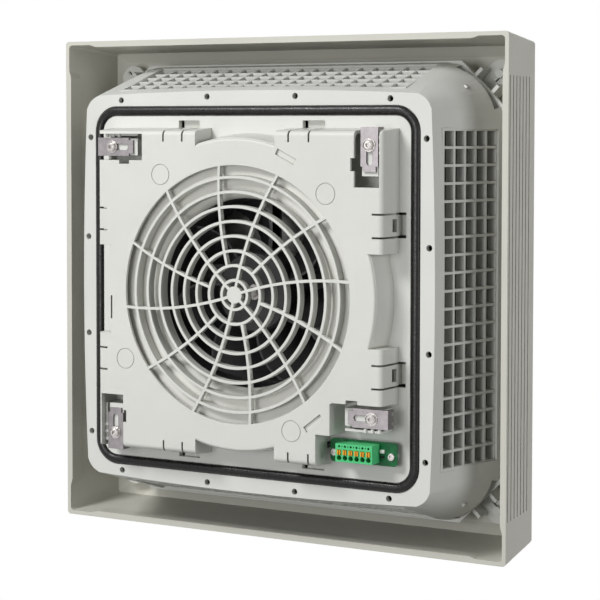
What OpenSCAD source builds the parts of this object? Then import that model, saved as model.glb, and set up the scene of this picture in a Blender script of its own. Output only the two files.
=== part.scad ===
// Enclosure roof fan: a square hood over a latticed frame, an axial fan and a clip-on grille cover.
// Every piece is drawn as seen from inside the enclosure, with the roof sheet at height zero and
// heights growing towards the enclosure, and then turned over so that the hood is on top.

/* [Roof opening] */
// Side of the square opening in the roof sheet
cutout_w = 291; // [280:1:310]

/* [Frame] */
// Width of the flange round the opening, at the middle of its sides
flange_over = 18; // [15:0.5:22]
// How far the sides of the flange bow outwards
flange_bow = 3.6; // [1:0.2:5]
// Corner radius of the flange
flange_r = 15; // [8:1:22]
// Thickness of the flange and of the floor inside it
floor_t = 5; // [4:0.5:7]
// How far each wall of the frame leans outwards on its way to the hood
frame_flare = 22.5; // [18:0.5:26]
// Corner radius of the frame at its hood end
frame_back_r = 52; // [40:1:60]
// Depth of the frame behind the flange face
frame_h = 81; // [76:1:86]
// Thickness of the frame walls
frame_wall = 3; // [2.5:0.25:4]
// Diameter of the flange holes
flange_hole_d = 5; // [3:0.5:6]
// Distance of the outer flange holes from the ends of each side
hole_end = 38.5; // [30:0.5:46]
// Place of the inner flange holes along each side
hole_inner = 41; // [30:1:60]
// Distance of the hole row from the edge of the flange
hole_inset = 5; // [4:0.5:6]

/* [Lattice] */
// Openings along each wall
lattice_rows = 19; // [12:1:22]
// Openings from the flange to the hood end
lattice_cols = 5; // [3:1:6]
// Solid wall left at each end of the lattice
lattice_end = 31.5; // [30:0.5:50]
// How much shorter than the frame the lattice is
lattice_short = 15; // [15:0.5:30]
// Width of the lattice ribs
lattice_rib = 2.1; // [1.4:0.1:3]
// Depth of the lattice ribs
lattice_t = 8; // [6:0.5:10]
// Thickness of the filter mats behind the lattice
mat_t = 5; // [3:0.5:8]

/* [Gasket] */
// Width of the foamed bead
gasket_w = 7.6; // [6:0.2:9]
// Height of the bead above the flange
gasket_rise = 2.6; // [1.5:0.1:4]
// Depth of the groove for the bead
groove_d = 2.4; // [1.5:0.1:3]
// Outer corner radius of the bead
gasket_r = 21; // [16:1:26]

/* [Hood] */
// How far the rim of the hood stands out past the frame
hood_over = 22; // [20:0.5:28]
// Distance from the roof sheet up to the rim of the hood
hood_gap = 37; // [30:1:45]
// Height of the shoulder of the hood over the frame
hood_rise = 23.5; // [20:0.5:32]
// Height of the bevel between the sides and the top
hood_bevel = 7.5; // [4:0.5:10]
// How far each side leans inwards towards the top
hood_draft = 5; // [2:0.5:6]
// Wall of the hood
hood_wall = 3.2; // [2.5:0.1:4]
// Grooves along each side of the hood
hood_grooves = 7; // [3:1:8]
// Width of the grooves
hood_groove_w = 1.5; // [0.8:0.1:2.5]
// Depth of the grooves
hood_groove_d = 1.2; // [0.5:0.1:1.6]
// Distance of the quarter-turn studs from the sides of the hood
stud_in = 31; // [29:0.5:33]
// Diameter of the studs
stud_d = 7; // [5:0.5:9]

/* [Grille cover] */
// Gap between the foot of the cover and the edge of the roof opening
cover_clear = 12.5; // [9:0.5:14]
// Height of the cover above the floor
cover_h = 25.8; // [24:0.2:30]
// Wall of the cover
cover_wall = 2.5; // [2:0.1:3]
// How far the round middle of the cover stands back from its foot
drum_in = 8; // [7:0.5:11]
// Length of the straight corner blocks' cut-backs
cutback_w = 73; // [60:1:80]
// Width of the face round the grille opening
grille_in = 21.5; // [19:0.5:25]
// Rings of the grille
grille_rings = 8; // [5:1:9]
// Spokes of the grille
grille_spokes = 12; // [8:2:16]
// Width of the grille ribs
grille_rib = 2.3; // [1.6:0.1:3]
// Depth of the grille rings
grille_depth = 7; // [4:0.5:9]

/* [Fan] */
// How much smaller the air opening of the fan is than the grille
fan_in = 27; // [25:0.5:30]
// Depth of the fan
fan_h = 51; // [45:1:55]
// Radius of the impeller hub
hub_r = 33.5; // [30:0.5:36]
// Blades of the impeller
fan_blades = 7; // [5:1:9]
// Twist of each blade in degrees
blade_twist = 34; // [20:1:45]
// Gap between the blade tips and the fan frame
tip_gap = 1.5; // [1:0.1:3]
// Diameter of the shaft
shaft_d = 8; // [6:0.5:10]

/* [Clamps] */
// Distance of the clamp screws from the foot of the cover, along the slide
clamp_in = 13; // [11:0.5:15]
// Distance of the clamp screws from the foot of the cover, across the slide
clamp_off = 15.7; // [15:0.1:18]
// How far the clamp beside the terminal is set back
clamp_setback = 26.3; // [24:0.1:28]
// Travel of a clamp plate
clamp_travel = 13; // [8:0.5:14]
// Width of a clamp plate
clamp_w = 15; // [12:0.5:16]
// Thickness of a clamp plate
clamp_t = 2; // [1.5:0.1:2.5]
// Diameter of the clamp screws
clamp_screw_d = 4; // [3:0.5:5]

/* [Terminal] */
// Poles of the terminal block
poles = 6; // [3:1:7]
// Distance between the poles
pole_pitch = 5.08; // [5:0.01:5.2]
// Length of the circuit board
board_l = 58; // [54:1:60]
// Width of the circuit board
board_w = 18.5; // [17:0.5:20]
// Thickness of the circuit board
board_t = 1.6; // [1:0.1:2]
// Height of the terminal block above the board
block_h = 13; // [10:0.5:15]
// Travel of the release levers
lever_travel = 1.5; // [0.8:0.1:2]

/* [Hidden] */
$fn = 64;

// Overrun of every cut
cut = 1;
// Clearance between pieces that move past each other
play = 0.35;
// Unit shares
half_share = 0.5;

// Widths that follow from the roof opening
flange_w = cutout_w + 2 * flange_over;
frame_back_w = flange_w + 2 * frame_flare;
hood_w = frame_back_w + 2 * hood_over;
cover_w = cutout_w - 2 * cover_clear;
cover_foot = cover_w / 2;
drum_r = cover_foot - drum_in;
grille_r = drum_r - grille_in;
fan_bore_r = grille_r - fan_in;
hole_outer = flange_w / 2 - hole_end;
lattice_len = flange_w - 2 * lattice_end;
lattice_h = frame_h - lattice_short;
clamp_out = cover_foot - clamp_in;
clamp_side = cover_foot - clamp_off;
hood_side_h = frame_h + hood_rise - hood_gap;
stud_at = hood_w / 2 - stud_in;

// Levels of the hood, measured towards the hood
rim_w = hood_gap;
shoulder_w = hood_gap + hood_side_h;
crown_w = shoulder_w + hood_bevel;
roof_in_w = crown_w - hood_wall;
hood_half = hood_w / 2;
hood_corner_r = 3;
hood_slice = 1;
hood_bevel_ease = 1;
hood_bevel_run = hood_bevel + hood_bevel_ease;
groove_end = 34;
groove_len = hood_w - 2 * groove_end;
groove_first = 3;
groove_last = 15;
groove_pitch = (hood_side_h - groove_first - groove_last) / (hood_grooves - 1);
lip_end = 32;
lip_len = hood_w - 2 * lip_end;
lip_ease = 9;
lip_t = 2.4;
lip_h = 14;

// Frame and lattice
frame_lean = atan((frame_back_w - flange_w) / 2 / frame_h);
lattice_start = 11.4;
lattice_sink = 1.5;
lattice_edge = 1.5;
row_pitch = lattice_len / lattice_rows;
col_pitch = lattice_h / lattice_cols;
flange_edge = 2;
bow_len = flange_w - 2 * flange_r;
bow_r = (bow_len * bow_len / 4 + flange_bow * flange_bow) / (2 * flange_bow);
gasket_clear = 2.8;
gasket_mid = cutout_w + gasket_clear;
gasket_play = 0.3;
groove_w = gasket_w + 2 * gasket_play;
bead_lift = 0.2;
bead_sink = 0.4;
bead_side = 0.9;
mat_foot = 3;
corner_gap_h = 9;
corner_gap_in = 34;
corner_gap_share = 1.4;
plate_t = 3.5;
plate_over = 1.5;
plate_half = frame_back_w / 2 + plate_over;
plate_chamfer = 38;
plate_rib = 2.5;
plate_rib_in = 10;
plate_rib_chamfer = 58;
post_foot_r = 6.5;
post_tip_r = 4.3;
post_in = 28;
post_at = frame_back_w / 2 - post_in;
post_len = 30;
post_web = 12;
plate_screw_d = 4;
plate_screw_len = 14;
plate_hole_play = 0.25;

// Ears that carry the hood
ear_rise = 16;
ear_w = frame_h + ear_rise;
ear_t = 4;
ear_r = 11.5;
ear_web_t = 3;
ear_web_end = 4;
ear_root = post_at + (plate_screw_d + ear_web_t + play) / sqrt(2);
stud_head_over = 5;
stud_head_r = stud_d / 2 + stud_head_over;
stud_head_t = 2.4;
stud_slot_w = 1.6;
stud_slot_d = 1.2;
stud_tip = 5;
stud_bar_over = 4;
stud_bar_len = stud_d + 2 * stud_bar_over;
stud_bar_d = 3;
boss_wall = 2;
boss_r = stud_bar_len / 2 + play + boss_wall;
boss_gap = 0.1;

// Cover
cover_lean = 2;
cover_round = 4;
drum_lean = 4;
cover_face_t = 2.5;
pocket_in_u = 47;
pocket_u = cover_foot - pocket_in_u;
pocket_in_v = 52;
pocket_v = cover_foot - pocket_in_v;
step_in_u = 59.5;
step_u = cover_foot - step_in_u;
step_in_v = 27;
step_v = cover_foot - step_in_v;
tongue_at = 58;
tongue_w = 18;
slit_w = 1.5;
slit_in = 9;
latch_hole_w = 10;
latch_hole_h = 7;
latch_hole_at = 3;
latch_drop = 3.2;
latch_nose = 1.6;
latch_in = 0.3;
latch_t = 1.9;
latch_tip = 1;
window_in = 3;
window_out = 6;
window_w = tongue_w + 2;
grille_rim = 9.5;
grille_pitch = (grille_r - grille_rim) / grille_rings;
ring_depth_shares = [0.7, 0.5];
spoke_bow = 5;
spoke_arc_r = (grille_r * grille_r / 4 + spoke_bow * spoke_bow) / (2 * spoke_bow);
spoke_depth = 4.5;
star_r = 9.5;
star_disc_share = 0.72;
mark_r = 8.6;
mark_w = 0.6;
mark_d = 0.4;
marks = [[-0.523, 0.715], [0.617, 0.617], [0.391, -0.79], [-0.782, -0.429]];
slot_len = 18.5;
slot_w = 5;
slot_d = 1.6;
slots = [[0.35, 0.831, -27], [0.538, -0.732, 38]];
side_slit_len = 19;
side_slit_in = 14.5;
side_slit_at = cover_foot - side_slit_in;
side_slit_mid = 15;

// Inlet nozzle
nozzle_t = 2.4;
nozzle_over = 4;
nozzle_out_r = grille_r + nozzle_over;
nozzle_below = 8;
nozzle_shelf_w = cover_h - nozzle_below;
nozzle_step = 2.2;
nozzle_step_in = 8;
nozzle_step_r = grille_r - nozzle_step_in;
nozzle_bell_r = 11;
nozzle_lip_r = fan_bore_r + nozzle_bell_r;
nozzle_ease = 1;

// Fan
fan_front = 4.5;
fan_flange_t = 4.5;
fan_flange_over = 9.5;
fan_flange_r = fan_bore_r + fan_flange_over;
fan_wall = 3;
fan_body_r = fan_bore_r + fan_wall;
fan_back = fan_front - fan_h;
fan_ear_over = 14.5;
ear_hole_r = fan_bore_r + fan_ear_over;
fan_ear_r = 6.5;
fan_screw_d = 4;
fan_screw_len = 12;
floor_bore_gap = 1;
floor_bore_r = fan_body_r + floor_bore_gap;
strut_t = 4.5;
strut_w = 7;
struts = 5;
strut_turn = 18;
strut_sink = 2;
strut_end = 1.6;
strut_step = 0.5;
base_disc_in = 2;
base_disc_r = hub_r - base_disc_in;
cup_wall = 1.6;
hub_wall = 1.6;
cup_r = hub_r - hub_wall;
hub_below = 9;
hub_front = fan_front - hub_below;
hub_face_t = 2.2;
cup_gap = 2;
cup_back = fan_back + strut_t + cup_gap;
cup_front = hub_front - hub_face_t;
hub_edge = 2;
fit = 0.04;
air_gap = 1;
stator_r = cup_r - cup_wall - air_gap;
stator_drop = 4;
stator_front = hub_front - hub_face_t - cup_wall - stator_drop;
stator_lift = 3;
stator_back = fan_back + strut_t + stator_lift;
tube_over = 7;
tube_r = shaft_d / 2 + tube_over;
bearing_over = 5;
bearing_r = shaft_d / 2 + bearing_over;
bearing_h = 7;
tube_past = 1;
tube_front = stator_front + tube_past;
tube_end_t = 1.5;
rear_bearing_in = 4;
rear_bearing_w = fan_back + rear_bearing_in;
race_wall = 1.3;
race_d = 0.6;
coil_h = 4.5;
coil_out = 3.5;
coil_in = 2;
shaft_in = 2;
shaft_back = fan_back + shaft_in;
shaft_past = 1.5;
shaft_front = hub_front + shaft_past;
shaft_chamfer = 0.6;
shaft_hole_gap = 2.5;
clip_in = 2.6;
clip_w = fan_back + clip_in;
clip_gap = 3;
stator_slots = 9;
stator_slot_w = 1.8;
stator_slot_d = 3;
tip_r = fan_bore_r - tip_gap;
blade_t = 2;
blade_lift = 3;
blade_root = 1.2;
blade_points = 7;
blade_slices = 8;
blade_edges = 24;
blade_bow = 16;
blade_half = blade_t / 2 * 180 / PI;
blade_drop = 1;
blade_h = hub_front - cup_back - blade_lift - blade_drop;
clip_over = 2.2;
clip_r = shaft_d / 2 + clip_over;
clip_t = 1;
clip_bite = 0.5;

// Clamps
plate_w_level = 19;
plate_outer = 14;
plate_inner = 20.5;
plate_step_l = 4;
plate_step_in = 2;
plate_step_w = clamp_w - 2 * plate_step_in;
claw_h = 8;
claw_notch = 3;
slot_play = 0.6;
clamp_slot_w = clamp_screw_d + 2 * slot_play;
tower_outer = 8;
tower_inner = 24;
tower_in = 0.5;
tower_w = clamp_w - 2 * tower_in;
screw_play = 0.2;
rail_t = 2;
rail_gap = 1.6;
lug_r = 1.5;
lug_pitch = 6;
lug_len = rail_t + rail_gap - play;
washer_over = 1.2;
washer_r = clamp_screw_d + washer_over;
washer_t = 0.8;
clamp_screw_len = 14;
screw_seat_w = plate_w_level + clamp_t + washer_t;
insert_wall = 1.2;
insert_r = clamp_screw_d / 2 + insert_wall;
insert_h = 8;
head_h_share = 0.5;
crown_h_share = 0.22;
crown_r_share = 0.72;
socket_share = 0.25;
socket_r_share = 0.42;
clamp_win_in = 32.5;
clamp_win_side = 10.8;
clamp_notch_in = 20;
clamp_notch_out = 10;
clamp_notch_deep = 3;
side_win_low = 8;

// Terminal
board_in_u = 55.5;
board_u = cover_foot - board_in_u;
board_in_v = 22.5;
board_v = cover_foot - board_in_v;
board_level = 6;
board_r = 3;
board_screw_d = 3;
board_hole_in = 3.4;
board_hole_far = 4.8;
board_hole_off = 1.5;
board_post_wall = 1.6;
board_post_floor = 2;
board_screw_places = [
    [board_u + board_hole_in, -board_v - board_w / 2 - board_hole_off],
    [board_u + board_l - board_hole_far, -board_v - board_w / 2 - board_hole_off]
];
block_end = 0.7;
block_seam = 0.06;
block_l = poles * pole_pitch + 2 * block_end;
block_d = 14.4;
block_in = 11;
block_u = board_u + block_in;
block_edge = 1.6;
block_v = board_v + block_edge;
block_top = board_level + board_t + block_h;
wire_r = 2;
wire_deep = 9;
wire_at = 11.2;
lever_at = 6.8;
lever_w = 2.9;
lever_l = 3.6;
lever_h = 7;
lever_proud = 0.9;
test_r = 0.9;
test_at = 2.2;
small_test_r = 0.45;
test_deep = 3;
lever_play = 0.35;
lever_under = 1;
spring_rise = 2;
lever_well = lever_h - lever_proud + lever_travel + lever_under + spring_rise;
slot_mark = 0.8;
pin_r = 0.5;
pin_play = 0.1;
pin_grip = 0.05;
pin_at = 5;
pin_below = 1.4;
pin_up = 2;
spring_run = 1.7;
board_screw_len = 6.5;
spring_t = 0.4;
spring_w = 2.4;
lead_r = 2.2;
lead_run_w = 3.2;
lead_hole = [66, -117];
lead_edges = 10;
lead_back = 2;
lead_entry = 12;
lead_side = [0.3, 0.2, -0.9];
lead_route = [
    [45.4, -62.6, -20], [45.4, -68, -20], [48.4, -76, -20.4], [53, -85, -20.5], [57, -93, -20.2],
    [61, -101, -19], [64, -108, -16.5], [65.6, -113, -12.5], [66, -116, -7.5], [66, -117, -3],
    [66.4, -117, 0.2], [68, -117, 2.6], [71, -117, 3.1], [75, -117, 3.1], [78.6, -117, 3.1]
];

// Turns a piece drawn from the enclosure side over, so that the hood is on top
module turned_over() {
    rotate([180, 0, 0]) children();
}

module rounded_square(side, r) {
    square([side, side - 2 * r], center = true);
    square([side - 2 * r, side], center = true);
    for (x = [-1, 1]) {
        for (y = [-1, 1]) {
            translate([x * (side / 2 - r), y * (side / 2 - r)]) circle(r = r);
        }
    }
}

module four_sides() {
    for (a = [0 : 90 : 270]) {
        rotate([0, 0, a]) children();
    }
}

// Outline of the flange: a rounded square whose sides bow outwards
module flange_outline(inset) {
    side = flange_w - 2 * flange_bow - 2 * inset;
    rounded_square(side, flange_r - inset);
    for (a = [0 : 90 : 270]) {
        rotate([0, 0, a]) intersection() {
            translate([flange_w / 2 - inset - bow_r, 0]) circle(r = bow_r, $fn = 720);
            translate([0, -bow_len / 2]) square([flange_w, bow_len]);
        }
    }
}

// The wall's own plane: x runs down the slope from the flange, y along the wall, z outwards
module on_wall() {
    translate([flange_w / 2, 0, 0]) rotate([0, 90 - frame_lean, 0]) children();
}

module frame_body(inset, top, bottom) {
    back = frame_back_w - 2 * inset;
    hull() {
        translate([0, 0, top - flange_edge]) linear_extrude(flange_edge) flange_outline(inset);
        translate([0, 0, bottom]) linear_extrude(flange_edge)
            rounded_square(back, frame_back_r - inset);
    }
}

module lattice_panel() {
    pane_x = col_pitch - lattice_rib;
    pane_y = row_pitch - lattice_rib;
    translate([lattice_start, 0, -lattice_sink - lattice_t]) linear_extrude(lattice_t) difference() {
        translate([-lattice_edge, -lattice_len / 2 - lattice_edge])
            square([lattice_h + 2 * lattice_edge, lattice_len + 2 * lattice_edge]);
        for (i = [0 : lattice_cols - 1]) {
            for (j = [0 : lattice_rows - 1]) {
                translate([i * col_pitch, j * row_pitch - lattice_len / 2])
                    translate([lattice_rib / 2, lattice_rib / 2]) square([pane_x, pane_y]);
            }
        }
    }
}

module lattice_window() {
    translate([lattice_start, -lattice_len / 2, -lattice_t - frame_wall])
        cube([lattice_h, lattice_len, lattice_t + 2 * frame_wall]);
}

// Clamp places: the screw is at the origin and the plate slides along x
module at_clamp(i) {
    setback = i == 3 ? clamp_setback : 0;
    rotate([0, 0, [180, 90, 270, 0][i]]) translate([clamp_out, setback - clamp_side, 0]) children();
}

module clamp_tower() {
    difference() {
        translate([-tower_inner, -tower_w / 2, -cut])
            cube([tower_inner + tower_outer, tower_w, plate_w_level + cut]);
        translate([0, 0, plate_w_level - insert_h]) cylinder(r = insert_r, h = insert_h + cut);
        translate([0, 0, plate_w_level - clamp_screw_len])
            cylinder(d = clamp_screw_d + 2 * screw_play, h = clamp_screw_len);
    }
    rail_y = -clamp_w / 2 - rail_gap - rail_t;
    translate([-tower_inner, rail_y, -cut])
        cube([tower_inner + tower_outer, rail_t, plate_w_level + cut]);
    for (k = [-1, 0, 1]) {
        translate([k * lug_pitch, rail_y, plate_w_level]) rotate([-90, 0, 0])
            cylinder(r = lug_r, h = lug_len);
    }
}

module board_post(u, v) {
    translate([u, v, -cut]) difference() {
        cylinder(r = board_screw_d / 2 + board_post_wall, h = board_level + cut);
        translate([0, 0, board_post_floor]) cylinder(r = board_screw_d / 2 + fit, h = board_level + cut);
    }
}

module floor_windows() {
    four_sides() {
        for (s = [-1, 1]) {
            translate([cover_foot - window_in, s * tongue_at - window_w / 2, -floor_t - cut])
                cube([window_in + window_out, window_w, floor_t + 2 * cut]);
        }
    }
}

module gasket_groove() {
    translate([0, 0, -groove_d]) linear_extrude(groove_d + cut) difference() {
        rounded_square(gasket_mid + groove_w, gasket_r);
        rounded_square(gasket_mid - groove_w, gasket_r - groove_w);
    }
}

module base_frame() turned_over() color("#D3D5CF") {
    difference() {
        union() {
            difference() {
                frame_body(0, 0, -frame_h);
                frame_body(frame_wall, -floor_t, -frame_h - flange_edge);
                four_sides() on_wall() lattice_window();
                four_sides() corner_gap();
            }
            four_sides() on_wall() lattice_panel();
            four_sides() translate([post_at, post_at, -frame_h]) corner_post();
            for (i = [0 : 3]) {
                at_clamp(i) clamp_tower();
            }
            for (p = board_screw_places) {
                board_post(p[0], p[1]);
            }
        }
        translate([0, 0, -floor_t - cut]) cylinder(r = floor_bore_r, h = floor_t + 2 * cut, $fn = 128);
        gasket_groove();
        floor_windows();
        flange_holes();
        translate([lead_hole[0], lead_hole[1], -floor_t - cut])
            cylinder(r = lead_r + play, h = floor_t + 2 * cut);
        fan_screw_holes(-floor_t - cut, floor_t + 2 * cut, fan_screw_d / 2 + fit);
        four_sides() translate([post_at, post_at, -frame_h - cut])
            cylinder(r = plate_screw_d / 2 + fit, h = plate_screw_len + cut);
    }
}

module corner_gap() {
    rotate([0, 0, 45]) translate([frame_back_w / sqrt(2) - corner_gap_in, 0, -frame_h + corner_gap_h / 2])
        cube([2 * corner_gap_in, corner_gap_share * corner_gap_in, corner_gap_h + cut], center = true);
}

module corner_post() {
    cylinder(r1 = post_foot_r, r2 = post_tip_r, h = post_len);
    rotate([0, 0, 45]) translate([0, -frame_wall / 2, corner_gap_h + cut])
        cube([post_web, frame_wall, post_len - corner_gap_h - cut]);
}

module flange_holes() {
    row = flange_w / 2 - hole_inset;
    drop = flange_bow * pow(hole_outer / (bow_len / 2), 2);
    four_sides() {
        for (s = [-1, 1]) {
            translate([row, s * hole_inner, -floor_t - cut])
                cylinder(d = flange_hole_d, h = floor_t + 2 * cut);
            translate([row - drop, s * hole_outer, -floor_t - cut])
                cylinder(d = flange_hole_d, h = floor_t + 2 * cut);
        }
    }
}

module fan_screw_holes(level, depth, r) {
    for (a = [45 : 90 : 315]) {
        rotate([0, 0, a]) translate([ear_hole_r, 0, level]) cylinder(r = r, h = depth);
    }
}

// One bead around a rounded square, drawn as straights and corner turns of one profile
module bead_profile() {
    bead_h = gasket_rise + groove_d - bead_lift;
    translate([-gasket_w / 2, bead_lift - groove_d]) square([gasket_w, bead_h - gasket_w / 2 + bead_side]);
    intersection() {
        translate([0, gasket_rise - gasket_w / 2 - bead_sink]) circle(d = gasket_w + 2 * bead_sink);
        translate([-gasket_w / 2, bead_lift - groove_d]) square([gasket_w, bead_h]);
    }
}

module mounting_gasket() turned_over() color("#1B1B1C") {
    mid_half = gasket_mid / 2;
    turn_r = gasket_r - groove_w / 2;
    run = gasket_mid - 2 * turn_r;
    four_sides() {
        translate([mid_half, run / 2, 0]) rotate([90, 0, 0]) linear_extrude(run) bead_profile();
        translate([mid_half - turn_r, mid_half - turn_r, 0]) rotate_extrude(angle = 90)
            translate([turn_r, 0]) bead_profile();
    }
}

// Lid over the hood end of the frame, with an arm to each hood stud
module plate_outline(side, chamfer) {
    h = side;
    c = side - chamfer;
    polygon([[h, c], [c, h], [-c, h], [-h, c], [-h, -c], [-c, -h], [c, -h], [h, -c]]);
}

module ear_arm() {
    far = stud_at * sqrt(2);
    root = ear_root * sqrt(2);
    rotate([0, 0, 45]) {
        translate([far, 0, -ear_w - ear_t]) cylinder(r = ear_r, h = ear_t);
        translate([root, -ear_r, -ear_w - ear_t]) cube([far - root, 2 * ear_r, ear_t]);
        for (s = [-1, 1]) {
            translate([root, s * (ear_r - ear_web_t / 2) - ear_web_t / 2, -ear_w - ear_t])
                cube([far - root - ear_web_end, ear_web_t, ear_w + ear_t - frame_h]);
        }
        translate([root - ear_web_t, -ear_r, -ear_w - ear_t])
            cube([ear_web_t, 2 * ear_r, ear_w + ear_t - frame_h]);
    }
}

module top_plate() turned_over() color("#CFD1CB") difference() {
    union() {
        translate([0, 0, -frame_h - plate_t]) linear_extrude(plate_t)
            plate_outline(plate_half, plate_chamfer);
        four_sides() ear_arm();
        translate([0, 0, -frame_h - plate_t - plate_rib]) linear_extrude(plate_rib + cut) difference() {
            plate_outline(plate_half - plate_rib_in, plate_rib_chamfer);
            plate_outline(plate_half - plate_rib_in - plate_rib, plate_rib_chamfer);
        }
    }
    four_sides() translate([stud_at, stud_at, -ear_w - ear_t - cut]) {
        cylinder(d = stud_d + 2 * play, h = ear_t + 2 * cut);
        rotate([0, 0, 45]) translate([-stud_bar_len / 2 - play, -stud_bar_d / 2 - play, 0])
            cube([stud_bar_len + 2 * play, stud_bar_d + 2 * play, ear_t + 2 * cut]);
    }
    four_sides() translate([post_at, post_at, -frame_h - plate_t - cut])
        cylinder(d = plate_screw_d + 2 * plate_hole_play, h = plate_t + 2 * cut);
}

module top_plate_screws() turned_over() color("#B9BBBD") four_sides()
    translate([post_at, post_at, -frame_h - plate_t]) pan_screw(plate_screw_d, plate_screw_len, false);

// Pan head screw with its head's underside at zero and its shank towards the head's far side
module pan_screw(d, len, up) {
    mirror([0, 0, up ? 0 : 1]) difference() {
        union() {
            cylinder(r = d, h = d * head_h_share);
            translate([0, 0, d * head_h_share])
                cylinder(r1 = d, r2 = d * crown_r_share, h = d * crown_h_share);
            translate([0, 0, -len + cut]) cylinder(d = d, h = len - cut + d * socket_share);
        }
        translate([0, 0, d * socket_share]) cylinder(r = d * socket_r_share, h = d, $fn = 6);
    }
}

module filter_mat(i) turned_over() color("#6E706C") rotate([0, 0, 90 * i]) on_wall()
    translate([lattice_start - mat_foot, -lattice_len / 2, -lattice_sink - lattice_t - mat_t])
        cube([lattice_h + mat_foot, lattice_len, mat_t]);

// Hood
module hood_outline(level, half, r) {
    translate([0, 0, -level]) linear_extrude(hood_slice) rounded_square(2 * half, r);
}

module hood_body(inset, rim, crown) {
    hull() {
        hood_outline(rim, hood_half - inset, hood_corner_r);
        hood_outline(shoulder_w, hood_half - hood_draft - inset, hood_corner_r);
        hood_outline(crown, hood_half - hood_draft - hood_bevel_run - inset, hood_corner_r);
    }
}

module hood_side_grooves() {
    for (k = [0 : hood_grooves - 1]) {
        depth = groove_first + k * groove_pitch;
        off = hood_draft * depth / hood_side_h;
        translate([hood_half - off - hood_groove_d, -groove_len / 2, -rim_w - depth - hood_groove_w])
            cube([hood_groove_d + 2 * cut, groove_len, hood_groove_w]);
    }
}

module rim_lip() {
    reach = hood_half - hood_wall + cut / 2;
    translate([0, 0, -rim_w - lip_h]) linear_extrude(lip_h) polygon([
        [reach, -lip_len / 2 - lip_ease], [reach - lip_t * 0.3, -lip_len / 2 - lip_ease * 0.7],
        [reach - lip_t * 0.8, -lip_len / 2 - lip_ease * 0.3], [reach - lip_t, -lip_len / 2],
        [reach - lip_t, lip_len / 2], [reach - lip_t * 0.8, lip_len / 2 + lip_ease * 0.3],
        [reach - lip_t * 0.3, lip_len / 2 + lip_ease * 0.7], [reach, lip_len / 2 + lip_ease]
    ]);
}

module hood() turned_over() color("#D2D4CE") difference() {
    union() {
        difference() {
            hood_body(0, rim_w + hood_slice, crown_w);
            hood_body(hood_wall, rim_w - cut, roof_in_w);
            four_sides() hood_side_grooves();
        }
        four_sides() rim_lip();
        four_sides() translate([stud_at, stud_at, -roof_in_w - cut / 2])
            cylinder(r = boss_r, h = roof_in_w - ear_w - ear_t - boss_gap + cut / 2);
    }
    four_sides() translate([stud_at, stud_at, -crown_w - cut]) {
        cylinder(d = stud_d + 2 * play, h = crown_w);
        rotate([0, 0, 45]) translate([-stud_bar_len / 2 - play, -stud_bar_d / 2 - play, 0])
            cube([stud_bar_len + 2 * play, stud_bar_d + 2 * play, crown_w]);
    }
}

// Quarter-turn stud: a slotted head on the hood and a bar that turns in front of the ear
module hood_stud(i) turned_over() color("#B4B6B6") rotate([0, 0, 90 * i])
    translate([stud_at, stud_at, 0]) {
        difference() {
            translate([0, 0, -crown_w - stud_head_t]) cylinder(r = stud_head_r, h = stud_head_t);
            translate([-stud_head_r, -stud_slot_w / 2, -crown_w - stud_head_t - cut])
                cube([2 * stud_head_r, stud_slot_w, stud_slot_d + cut]);
        }
        translate([0, 0, -crown_w - cut / 2]) cylinder(d = stud_d, h = crown_w - ear_w + stud_tip + cut / 2);
        rotate([0, 0, 45]) translate([-stud_bar_len / 2, 0, -ear_w + stud_bar_d / 2 + play])
            rotate([0, 90, 0]) cylinder(d = stud_bar_d, h = stud_bar_len);
    }

// Cover: a round drum with four corner blocks, all with leaning walls and rounded upper edges
module wall_profile(inset, top) {
    foot = cover_foot - inset;
    shoulder = top - cover_round;
    face = foot - cover_lean;
    polygon([
        [0, -cut], [foot + cover_lean * cut / top, -cut],
        for (a = [0 : 15 : 90]) [face - cover_round + cover_round * cos(a), shoulder + cover_round * sin(a)],
        [0, top]
    ]);
}

module corner_block(inset, top) {
    near = cutback_w / 2 + inset;
    intersection() {
        translate([0, cover_w, 0]) rotate([90, 0, 0]) linear_extrude(cover_w - near) wall_profile(inset, top);
        translate([near, 0, 0]) rotate([90, 0, 90]) linear_extrude(cover_w - near) wall_profile(inset, top);
    }
}

module drum(inset, top) {
    r = drum_r - inset;
    round_r = cover_round / 2;
    rotate_extrude($fn = 180) polygon([
        [0, -cut], [r + drum_lean, -cut], [r + round_r / 4, top - round_r],
        for (a = [0 : 30 : 90]) [r - round_r + round_r * cos(a), top - round_r + round_r * sin(a)],
        [0, top]
    ]);
}

module cover_mass(inset, top) {
    difference() {
        union() {
            drum(inset, top);
            four_sides() corner_block(inset, top);
        }
        translate([pocket_u - inset, -cover_w - pocket_v + inset, -2 * cut])
            cube([cover_w, cover_w, 2 * cover_h]);
        translate([step_u - inset, -cover_w - step_v + inset, -2 * cut])
            cube([cover_w, cover_w, 2 * cover_h]);
    }
}

module clamp_window() {
    translate([-clamp_win_in, -clamp_win_side, side_win_low]) cube([cover_w, 2 * clamp_win_side, cover_h]);
    translate([-clamp_notch_in, clamp_win_side - cut, side_win_low])
        cube([clamp_notch_in - clamp_notch_out, clamp_notch_deep + cut, cover_h]);
}

module tongue_slits() {
    for (s = [-1, 1]) {
        translate([cover_foot - cover_lean - slit_in, tongue_at + s * tongue_w / 2 - slit_w / 2, -2 * cut])
            cube([slit_in + 2 * cover_lean + cut, slit_w, cover_h + 3 * cut]);
    }
    translate([cover_foot - cover_wall - 2 * cover_lean, tongue_at - latch_hole_w / 2, latch_hole_at])
        cube([cover_wall + 4 * cover_lean, latch_hole_w, latch_hole_h]);
}

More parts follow.
